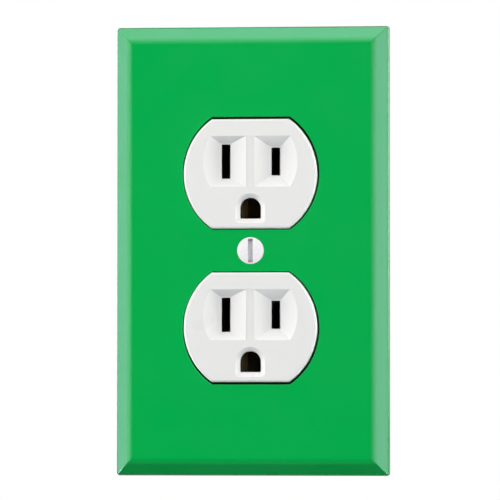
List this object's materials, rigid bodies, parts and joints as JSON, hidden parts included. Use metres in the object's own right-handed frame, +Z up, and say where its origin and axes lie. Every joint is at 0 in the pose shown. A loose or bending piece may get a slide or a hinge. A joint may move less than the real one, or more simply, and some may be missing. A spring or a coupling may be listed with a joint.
{
  "type": "duplex receptacle with wall plate",
  "caption": "Green bevelled wall plate with one centre screw, fitted over a white grounded duplex receptacle with its strap, terminals and box screws.",
  "frame": {"origin": "where the cover screw's axis meets the wall's surface, at the centre of the plate's rim", "axes": "+X right seen from the room, +Y into the wall, +Z up"},
  "size_m": [0.0698, 0.0311, 0.1142],
  "materials": {
    "green_nylon": "smooth moulded thermoplastic, semi-gloss",
    "white_thermoset": "smooth moulded thermoset, semi-gloss",
    "white_body": "fine moulded texture",
    "white_enamel": "baked enamel over steel",
    "zinc_steel": "bright zinc plate",
    "nickel_plate": "nickel plate",
    "brass": "stamped, bright",
    "green_screw": "green dyed plating",
    "fibre": "vulcanised fibre"
  },
  "bodies": {
    "receptacle": {"receptacle_face": "white_thermoset", "back_body": "white_body", "mounting_strap": "zinc_steel", "hot_contact": "brass", "neutral_contact": "brass", "ground_contact_upper": "brass", "ground_contact_lower": "brass", "ground_contact_rivets": "nickel_plate", "assembly_rivets": "zinc_steel", "retaining_washer": "fibre", "self_ground_clip": "brass", "clip_rivet": "nickel_plate"},
    "cover_plate": {"wall_plate": "green_nylon"},
    "cover_screw_body": {"cover_screw": "white_enamel"},
    "hot_clamp_upper_body": {"hot_clamp_upper": "brass"},
    "hot_screw_upper_body": {"hot_screw_upper": "brass"},
    "hot_clamp_lower_body": {"hot_clamp_lower": "brass"},
    "hot_screw_lower_body": {"hot_screw_lower": "brass"},
    "neutral_clamp_upper_body": {"neutral_clamp_upper": "nickel_plate"},
    "neutral_screw_upper_body": {"neutral_screw_upper": "nickel_plate"},
    "neutral_clamp_lower_body": {"neutral_clamp_lower": "nickel_plate"},
    "neutral_screw_lower_body": {"neutral_screw_lower": "nickel_plate"},
    "ground_clamp_body": {"ground_clamp": "brass"},
    "ground_screw_body": {"ground_screw": "green_screw"},
    "mounting_screw_upper_body": {"mounting_screw_upper": "zinc_steel"},
    "mounting_screw_lower_body": {"mounting_screw_lower": "zinc_steel"}
  },
  "joints": [
    {"name": "cover_lift", "type": "slide", "parent": "receptacle", "child": "cover_plate", "axis": [0, -1, 0], "range_m": [0, 0.00833]},
    {"name": "cover_screw_turn", "type": "hinge", "parent": "cover_plate", "child": "cover_screw_body", "pos_m": [0, 0, 0], "axis": [0, -1, 0], "range_deg": [0, 3780]},
    {"name": "hot_clamp_upper_slide", "type": "slide", "parent": "receptacle", "child": "hot_clamp_upper_body", "axis": [1, 0, 0], "range_m": [0, 0.00317]},
    {"name": "hot_screw_upper_turn", "type": "hinge", "parent": "hot_clamp_upper_body", "child": "hot_screw_upper_body", "pos_m": [0, 0.0115, 0.01268], "axis": [1, 0, 0], "range_deg": [0, 1440]},
    {"name": "hot_clamp_lower_slide", "type": "slide", "parent": "receptacle", "child": "hot_clamp_lower_body", "axis": [1, 0, 0], "range_m": [0, 0.00317]},
    {"name": "hot_screw_lower_turn", "type": "hinge", "parent": "hot_clamp_lower_body", "child": "hot_screw_lower_body", "pos_m": [0, 0.0115, -0.00632], "axis": [1, 0, 0], "range_deg": [0, 1440]},
    {"name": "neutral_clamp_upper_slide", "type": "slide", "parent": "receptacle", "child": "neutral_clamp_upper_body", "axis": [-1, 0, 0], "range_m": [0, 0.00317]},
    {"name": "neutral_screw_upper_turn", "type": "hinge", "parent": "neutral_clamp_upper_body", "child": "neutral_screw_upper_body", "pos_m": [0, 0.0115, 0.01268], "axis": [-1, 0, 0], "range_deg": [0, 1440]},
    {"name": "neutral_clamp_lower_slide", "type": "slide", "parent": "receptacle", "child": "neutral_clamp_lower_body", "axis": [-1, 0, 0], "range_m": [0, 0.00317]},
    {"name": "neutral_screw_lower_turn", "type": "hinge", "parent": "neutral_clamp_lower_body", "child": "neutral_screw_lower_body", "pos_m": [0, 0.0115, -0.00632], "axis": [-1, 0, 0], "range_deg": [0, 1440]},
    {"name": "ground_clamp_slide", "type": "slide", "parent": "receptacle", "child": "ground_clamp_body", "axis": [-1, 0, 0], "range_m": [0, 0.00317]},
    {"name": "ground_screw_turn", "type": "hinge", "parent": "ground_clamp_body", "child": "ground_screw_body", "pos_m": [0, 0.0056, -0.02925], "axis": [-1, 0, 0], "range_deg": [0, 1440]},
    {"name": "mounting_screw_upper_turn", "type": "hinge", "parent": "receptacle", "child": "mounting_screw_upper_body", "pos_m": [0, 0, 0.04167], "axis": [0, -1, 0], "continuous": true},
    {"name": "mounting_screw_lower_turn", "type": "hinge", "parent": "receptacle", "child": "mounting_screw_lower_body", "pos_m": [0, 0, -0.04167], "axis": [0, -1, 0], "continuous": true}
  ],
  "couplings": [
    {"joint": "cover_screw_turn", "follows": "cover_lift", "rad_per_m": 7915.8},
    {"joint": "hot_screw_upper_turn", "follows": "hot_clamp_upper_slide", "rad_per_m": 7915.8},
    {"joint": "hot_screw_lower_turn", "follows": "hot_clamp_lower_slide", "rad_per_m": 7915.8},
    {"joint": "neutral_screw_upper_turn", "follows": "neutral_clamp_upper_slide", "rad_per_m": 7915.8},
    {"joint": "neutral_screw_lower_turn", "follows": "neutral_clamp_lower_slide", "rad_per_m": 7915.8},
    {"joint": "ground_screw_turn", "follows": "ground_clamp_slide", "rad_per_m": 7915.8}
  ]
}
